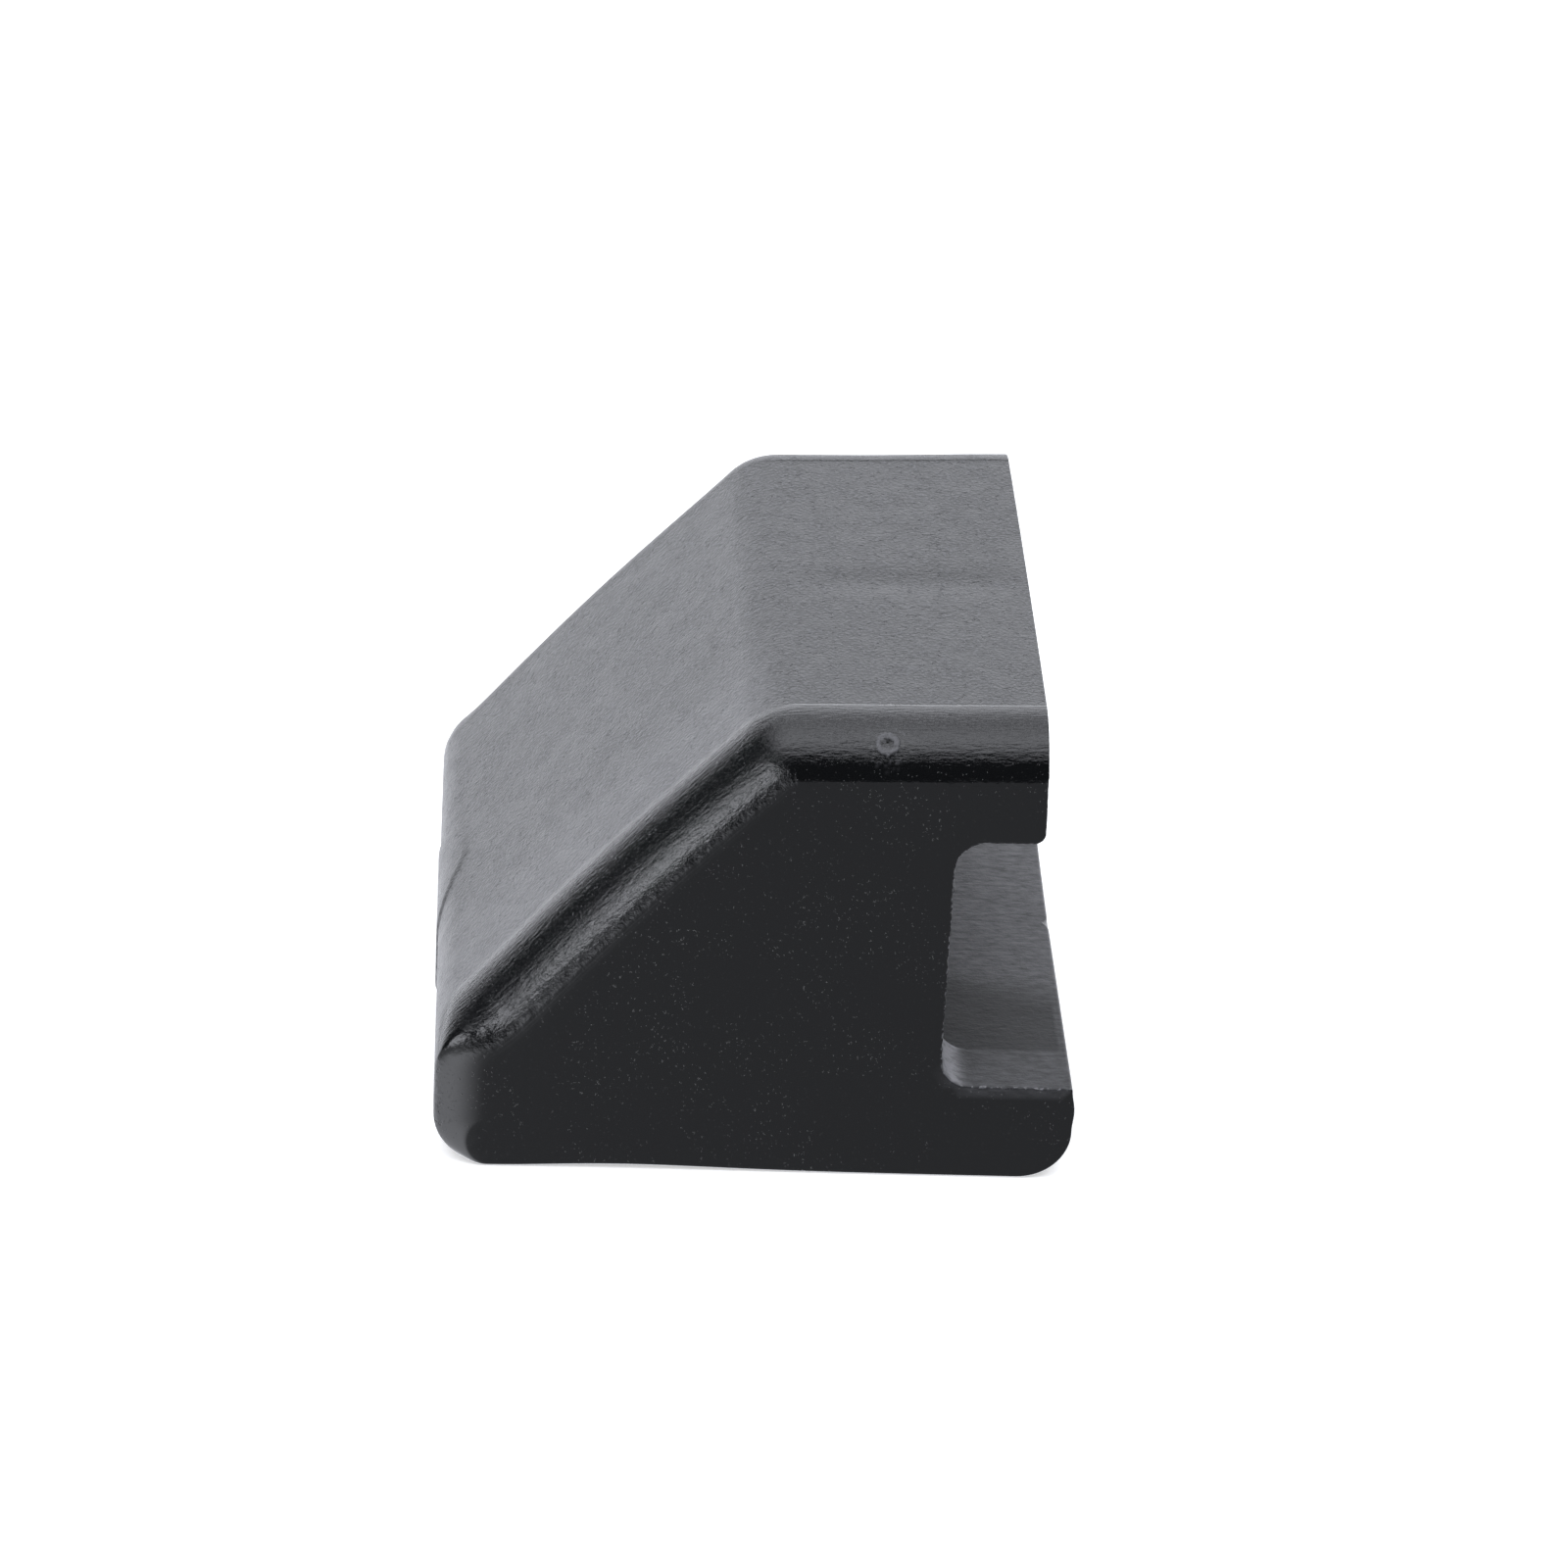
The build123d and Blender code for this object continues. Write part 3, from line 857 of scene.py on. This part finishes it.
def mouldedPlastic(look):
    # Black plastic moulded in a spark-eroded mould. It looks matt and grained on the top and the
    # slope, satin on the end faces, finely streaked on the rounding between, and torn in the channel.
    material, tree = newMaterial("black_moulded_plastic")
    place = addNode(tree, "ShaderNodeTexCoord")
    plain = addNode(tree, "ShaderNodeMapping", {}, {
        "Vector": place.outputs["Object"], "Scale": (1 / mm,) * 3})
    shares = {name: addNode(tree, "ShaderNodeAttribute", {"attribute_name": name}).outputs["Fac"]
              for name in ("mouldGrain", "channelCut", "endRounding", "gateScuff", "channelPaintedLight",
                           "channelRim", "slopeFrontPale")}
    flow = addNode(tree, "ShaderNodeAttribute", {"attribute_name": "flowPlace"}).outputs["Vector"]
    drawn = addNode(tree, "ShaderNodeMapping", {}, {
        "Vector": flow, "Scale": (1 / look["streakLong"], 1, 1)})
    pulled = addNode(tree, "ShaderNodeMapping", {}, {
        "Vector": plain, "Scale": (look["tearAcross"], 1, 1)})
    # one noise for each kind of mark: what it runs on, its size in mm, detail and roughness
    noises = {}
    for name, vector, detail, rough in (
            ("grain", plain, 2, 0.55), ("pore", plain, 3, 0.65), ("peel", plain, 2, 0.5),
            ("mottle", plain, 4, 0.65), ("patch", plain, 3, 0.6), ("streak", drawn, 4, 0.65),
            ("dust", plain, 2, 0.5)):
        noises[name] = addNode(tree, "ShaderNodeTexNoise", {}, {
            "Vector": vector, "Scale": 1 / look[name + "Size"], "Detail": detail, "Roughness": rough})
    tearing = addNode(tree, "ShaderNodeTexNoise", {}, {
        "Vector": pulled, "Scale": 1 / look["tearSize"], "Detail": 5, "Roughness": 0.7})
    # colour: worn grain tops, torn channel, pale scuffs, painted light on the channel's floor, a paler
    # front of the slope, dust
    blotch = addNode(tree, "ShaderNodeMapRange", smooth, {
        "Value": noises["mottle"], "From Min": 0.38, "From Max": 0.66, "To Min": 0.25, "To Max": 1})
    tops = addNode(tree, "ShaderNodeMapRange", smooth, {
        "Value": noises["grain"], "From Min": 0.48, "From Max": 0.66})
    worn = addNode(tree, "ShaderNodeMath", times, {0: tops, 1: blotch})
    worn = addNode(tree, "ShaderNodeMath", times, {0: worn, 1: shares["mouldGrain"]})
    colour = addNode(tree, "ShaderNodeMix", inColour, {"Factor": worn, "A": linear(look["black"]),
                                                       "B": linear(look["worn"])})
    cutTone = addNode(tree, "ShaderNodeMapRange", smooth, {
        "Value": tearing, "From Min": 0.35, "From Max": 0.65})
    cutTone = addNode(tree, "ShaderNodeMath", times, {0: cutTone, 1: shares["channelCut"]})
    colour = addNode(tree, "ShaderNodeMix", inColour, {
        "Factor": cutTone, "A": colour, "B": linear(look["cut"])})
    # painted light on the channel's floor, broken up by the torn texture
    paintedLight = addNode(tree, "ShaderNodeMapRange", smooth, {
        "Value": tearing, "From Min": 0.25, "From Max": 0.7, "To Min": 0.4, "To Max": 1.5})
    paintedLight = addNode(tree, "ShaderNodeMath", times, {0: paintedLight, 1: shares["channelPaintedLight"]})
    paintedLight = addNode(tree, "ShaderNodeMath", times, {0: paintedLight, 1: look["paintedLightShare"]})
    rim = addNode(tree, "ShaderNodeMapRange", smooth, {
        "Value": noises["pore"], "From Min": 0.5, "From Max": 0.62})
    rim = addNode(tree, "ShaderNodeMath", times, {0: rim, 1: shares["channelRim"]})
    scuffAndPaintedLight = addNode(tree, "ShaderNodeMath", most, {0: paintedLight, 1: rim})
    torn = addNode(tree, "ShaderNodeMath", times, {0: shares["gateScuff"], 1: look["gateScuffShare"]})
    scuffAndPaintedLight = addNode(tree, "ShaderNodeMath", most, {0: scuffAndPaintedLight, 1: torn})
    slopeFrontPaleTone = addNode(tree, "ShaderNodeMath", times, {0: shares["slopeFrontPale"], 1: look["slopeFrontPaleShare"]})
    scuffAndPaintedLight = addNode(tree, "ShaderNodeMath", most, {0: scuffAndPaintedLight, 1: slopeFrontPaleTone})
    # pale colour for real scuffs and for the painted light on the channel's floor
    colour = addNode(tree, "ShaderNodeMix", inColour, {
        "Factor": scuffAndPaintedLight, "A": colour, "B": linear(look["paleScuffAndLight"])})
    specks = addNode(tree, "ShaderNodeMapRange", smooth, {
        "Value": noises["dust"], "From Min": 0.66, "From Max": 0.76})
    gathered = addNode(tree, "ShaderNodeMapRange", smooth, {
        "Value": noises["patch"], "From Min": 0.4, "From Max": 0.65, "To Min": 0.1, "To Max": 1})
    bare = addNode(tree, "ShaderNodeMapRange", {}, {
        "Value": shares["mouldGrain"], "To Min": 1, "To Max": 0.25})
    dust = addNode(tree, "ShaderNodeMath", times, {0: specks, 1: gathered})
    dust = addNode(tree, "ShaderNodeMath", times, {0: dust, 1: bare})
    dustTone = addNode(tree, "ShaderNodeMath", times, {0: dust, 1: look["dustShare"]})
    colour = addNode(tree, "ShaderNodeMix", inColour, {
        "Factor": dustTone, "A": colour, "B": linear(look["dust"])})
    # roughness
    rough = addNode(tree, "ShaderNodeMix", {}, {
        "Factor": shares["mouldGrain"], "A": look["faceRoughness"], "B": look["grainRoughness"]})
    gloss = addNode(tree, "ShaderNodeMapRange", smooth, {
        "Value": noises["mottle"], "From Min": 0.3, "From Max": 0.7, "To Min": -0.03, "To Max": 0.04})
    gloss = addNode(tree, "ShaderNodeMath", times, {0: gloss, 1: shares["mouldGrain"]})
    rough = addNode(tree, "ShaderNodeMath", plus, {0: rough, 1: gloss})
    rough = addNode(tree, "ShaderNodeMix", {}, {
        "Factor": shares["channelCut"], "A": rough, "B": look["cutRoughness"]})
    dulled = addNode(tree, "ShaderNodeMath", most, {0: dust, 1: shares["gateScuff"]})
    rough = addNode(tree, "ShaderNodeMix", {}, {
        "Factor": dulled, "A": rough, "B": look["scuffRoughness"]})
    # relief in mm: raised grain, sunken pores, orange peel, flow lines, torn cut, dust
    pits = addNode(tree, "ShaderNodeMapRange", smooth, {
        "Value": noises["pore"], "From Min": 0.42, "From Max": 0.3})
    pits = addNode(tree, "ShaderNodeMath", times, {0: pits, 1: look["poreDeep"]})
    raised = addNode(tree, "ShaderNodeMath", times, {0: noises["grain"], 1: look["grainDeep"]})
    relief = addNode(tree, "ShaderNodeMath", minus, {0: raised, 1: pits})
    relief = addNode(tree, "ShaderNodeMath", times, {0: relief, 1: shares["mouldGrain"]})
    for value, share, deep in (
            (noises["peel"], 1.0, "peelDeep"), (noises["streak"], shares["endRounding"], "streakDeep"),
            (tearing, shares["channelCut"], "cutDeep"), (noises["pore"], shares["channelCut"], "cutDeep"),
            (dust, 1.0, "dustHigh")):
        part = addNode(tree, "ShaderNodeMath", times, {0: value, 1: look[deep]})
        part = addNode(tree, "ShaderNodeMath", times, {0: part, 1: share})
        relief = addNode(tree, "ShaderNodeMath", plus, {0: relief, 1: part})
    bump = addNode(tree, "ShaderNodeBump", {}, {"Strength": 1.0, "Distance": mm, "Height": relief})
    shader = addNode(tree, "ShaderNodeBsdfPrincipled", {}, {
        "Base Color": colour, "Roughness": rough, "IOR": 1.5, "Normal": bump})
    addNode(tree, "ShaderNodeOutputMaterial", {}, {"Surface": shader})
    return material


brassLook = {
    "bright": "#c9a860", "dull": "#9c7c42", "dark": "#5e4a2a",
    "turnedSpacing": 0.18,  # mm between turning marks
    "turnedDeep": 0.0025,
    "filmSize": 1.4, "fineSize": 0.3, "fineDeep": 0.006,
    "roughness": 0.3,
    "shadeFrom": -1.5, "shadeTo": -7.0,   # mm behind the mouth, where painted shade darkens the bore
}


def turnedBrass(look):
    # Free-cutting brass, turned: fine rings round its axis, dulled by a film that comes with age.
    material, tree = newMaterial("turned_brass")
    place = addNode(tree, "ShaderNodeTexCoord")
    plain = addNode(tree, "ShaderNodeMapping", {}, {
        "Vector": place.outputs["Object"], "Scale": (1 / mm,) * 3})
    parts = addNode(tree, "ShaderNodeSeparateXYZ", {}, {"Vector": plain})
    across = addNode(tree, "ShaderNodeCombineXYZ", {}, {
        "Y": parts.outputs["Y"], "Z": parts.outputs["Z"]})
    radius = addNode(tree, "ShaderNodeVectorMath", {"operation": "LENGTH"}, {
        0: across}).outputs["Value"]
    along = addNode(tree, "ShaderNodeMath", plus, {0: radius, 1: parts.outputs["X"]})
    along = addNode(tree, "ShaderNodeMath", times, {0: along, 1: 2 * math.pi / look["turnedSpacing"]})
    rings = addNode(tree, "ShaderNodeMath", {"operation": "SINE"}, {0: along})
    film = addNode(tree, "ShaderNodeTexNoise", {}, {
        "Vector": plain, "Scale": 1 / look["filmSize"], "Detail": 3})
    fine = addNode(tree, "ShaderNodeTexNoise", {}, {
        "Vector": plain, "Scale": 1 / look["fineSize"], "Detail": 2})
    filmShare = addNode(tree, "ShaderNodeMapRange", smooth, {
        "Value": film, "From Min": 0.35, "From Max": 0.7})
    # painted shade: deeper behind the mouth the brass is mixed towards the dark colour, as shade in the
    # bore
    boreShadeShare = addNode(tree, "ShaderNodeMapRange", smooth, {
        "Value": parts.outputs["X"], "From Min": look["shadeFrom"], "From Max": look["shadeTo"],
        "To Max": 0.8})
    colour = addNode(tree, "ShaderNodeMix", inColour, {"Factor": filmShare, "A": linear(look["bright"]),
                                                       "B": linear(look["dull"])})
    colour = addNode(tree, "ShaderNodeMix", inColour, {
        "Factor": boreShadeShare, "A": colour, "B": linear(look["dark"])})
    rough = addNode(tree, "ShaderNodeMapRange", smooth, {
        "Value": film, "From Min": 0.3, "From Max": 0.7, "To Min": look["roughness"] - 0.06,
        "To Max": look["roughness"] + 0.12})
    turned = addNode(tree, "ShaderNodeMath", times, {0: rings, 1: look["turnedDeep"]})
    pitted = addNode(tree, "ShaderNodeMath", times, {0: fine, 1: look["fineDeep"]})
    relief = addNode(tree, "ShaderNodeMath", plus, {0: turned, 1: pitted})
    bump = addNode(tree, "ShaderNodeBump", {}, {"Strength": 1.0, "Distance": mm, "Height": relief})
    shader = addNode(tree, "ShaderNodeBsdfPrincipled", {}, {
        "Base Color": colour, "Metallic": 1.0, "Roughness": rough, "Normal": bump})
    addNode(tree, "ShaderNodeOutputMaterial", {}, {"Surface": shader})
    return material


hornPiece.data.materials.append(mouldedPlastic(plasticLook))
brass = turnedBrass(brassLook)
for piece in insertPieces:
    piece.data.materials.append(brass)
print("materials made")


studio = {
    "floor": "#f1f1f0", "floorWorn": "#f5f5f4", "floorPatch": 60,     # mm
    "floorGlow": 0.5,
    "floorRadius": 1.6, "coveRadius": 0.5, "wallHeight": 1.6,         # metres
    "tint": "#f6f8ff",
    "softboxes": {
        "overhead_softbox": {
            "direction": (0, -0.39, 0.92), "distance": 0.9,
            "size": (1.5, 0.8), "radiance": 2.2},
        "left_softbox": {
            "direction": (-0.58, -0.8, 0.12), "distance": 0.8,
            "size": (0.28, 0.24), "radiance": 6.5},
        "far_left_softbox": {
            "direction": (-0.84, -0.43, 0.33), "distance": 0.8,
            "size": (0.1, 0.22), "radiance": 1.5},
    },
    "backRadiance": 2.75, "skyRadiance": 1.2, "darkRadiance": 0.03,
    "lowBackRadiance": 2.6, "lowFrontRadiance": 0.44, "lowLeftRadiance": 2.9,
    "farLeftRadiance": 6.0, "leftRadiance": 0.8,
}


def buildFloor(look):
    # round floor that turns up into a wall all round; the object neither reflects nor is lit by it
    steps = 96
    profile = [(0.001, 0)] + [(look["floorRadius"] * share, 0) for share in (0.1, 0.3, 0.6, 1)]
    for angle in np.linspace(0, 90, 9)[1:]:
        lean = math.radians(angle)
        profile.append((look["floorRadius"] + look["coveRadius"] * math.sin(lean),
                        look["coveRadius"] * (1 - math.cos(lean))))
    profile.append((profile[-1][0], look["wallHeight"]))
    turn = np.linspace(0, 2 * math.pi, steps, endpoint=False)
    points = np.concatenate([
        np.stack([reach * np.cos(turn), reach * np.sin(turn), np.full(steps, z)], 1)
        for reach, z in profile]) / mm
    piece = makeMesh("floor", points, latheFaces(len(profile), steps) + [list(range(steps))])
    material, tree = newMaterial("painted_floor")
    place = addNode(tree, "ShaderNodeTexCoord")
    patches = addNode(tree, "ShaderNodeTexNoise", {}, {
        "Vector": place.outputs["Object"], "Scale": 1 / look["floorPatch"] / mm, "Detail": 3})
    tone = addNode(tree, "ShaderNodeMix", inColour, {"Factor": patches, "A": linear(look["floor"]),
                                                     "B": linear(look["floorWorn"])})
    shader = addNode(tree, "ShaderNodeBsdfPrincipled", {}, {
        "Base Color": tone, "Roughness": 0.9, "Specular IOR Level": 0.0, "Emission Color": tone,
        "Emission Strength": look["floorGlow"]})
    addNode(tree, "ShaderNodeOutputMaterial", {}, {"Surface": shader})
    piece.data.materials.append(material)
    piece.visible_glossy = False
    piece.visible_diffuse = False
    piece.visible_shadow = False


def addSoftbox(name, box):
    # rectangular light that faces the object; its power follows from the radiance wanted
    width, height = box["size"]
    data = bpy.data.lights.new(name, "AREA")
    data.shape = "RECTANGLE"
    data.size, data.size_y = width, height
    data.energy = math.pi * width * height * box["radiance"]
    data.color = linear(studio["tint"])[:3]
    light = bpy.data.objects.new(name, data)
    direction = Vector(box["direction"]).normalized()
    aim = Vector((0, 0, (bodyLow.z + bodyHigh.z) / 2))
    light.location = aim + direction * box["distance"]
    light.rotation_mode = "QUATERNION"
    light.rotation_quaternion = direction.to_track_quat("Z", "Y")
    light.visible_camera = False
    scene.collection.objects.link(light)


def buildWorld(look):
    # white studio: bright behind and above, dark on the near side
    world = bpy.data.worlds.new("studio")
    scene.world = world
    world.use_nodes = True
    tree = world.node_tree
    tree.nodes.clear()
    way = addNode(tree, "ShaderNodeTexCoord").outputs["Generated"]
    parts = addNode(tree, "ShaderNodeSeparateXYZ", {}, {"Vector": way})
    x, y, z = (parts.outputs[axis] for axis in "XYZ")
    dark = look["darkRadiance"]
    back = addNode(tree, "ShaderNodeMapRange", smooth, {"Value": y, "From Min": 0.4, "From Max": 0.7,
                                                        "To Min": dark, "To Max": look["backRadiance"]})
    sky = addNode(tree, "ShaderNodeMapRange", smooth, {"Value": z, "From Min": 0.72, "From Max": 0.9,
                                                       "To Min": dark, "To Max": look["skyRadiance"]})
    upper = addNode(tree, "ShaderNodeMath", most, {0: back, 1: sky})
    lowFront = addNode(tree, "ShaderNodeMapRange", smooth, {
        "Value": x, "From Min": 0.03, "From Max": -0.36, "To Min": look["lowFrontRadiance"],
        "To Max": look["lowLeftRadiance"]})
    farLeft = addNode(tree, "ShaderNodeMapRange", smooth, {
        "Value": x, "From Min": -0.6, "From Max": -0.9, "To Max": look["farLeftRadiance"]})
    lowFront = addNode(tree, "ShaderNodeMath", most, {0: lowFront, 1: farLeft})
    fromHorizon = addNode(tree, "ShaderNodeMapRange", smooth, {
        "Value": z, "From Min": -0.36, "From Max": -0.2})
    horizon = addNode(tree, "ShaderNodeMapRange", smooth, {
        "Value": x, "From Min": -0.15, "From Max": -0.4, "To Min": dark,
        "To Max": look["leftRadiance"]})
    lowFront = addNode(tree, "ShaderNodeMix", {}, {"Factor": fromHorizon, "A": lowFront, "B": horizon})
    toBack = addNode(tree, "ShaderNodeMapRange", smooth, {
        "Value": y, "From Min": -0.1, "From Max": 0.35})
    lower = addNode(tree, "ShaderNodeMix", {}, {
        "Factor": toBack, "A": lowFront, "B": look["lowBackRadiance"]})
    upward = addNode(tree, "ShaderNodeMapRange", smooth, {
        "Value": z, "From Min": -0.03, "From Max": 0.03})
    value = addNode(tree, "ShaderNodeMix", {}, {"Factor": upward, "A": lower, "B": upper})
    glow = addNode(tree, "ShaderNodeBackground", {}, {"Color": linear(look["tint"]), "Strength": value})
    addNode(tree, "ShaderNodeOutputWorld", {}, {"Surface": glow})


buildFloor(studio)
for boxName, softbox in studio["softboxes"].items():
    addSoftbox(boxName, softbox)
buildWorld(studio)
scene.view_settings.view_transform = "Standard"
print("studio lit")
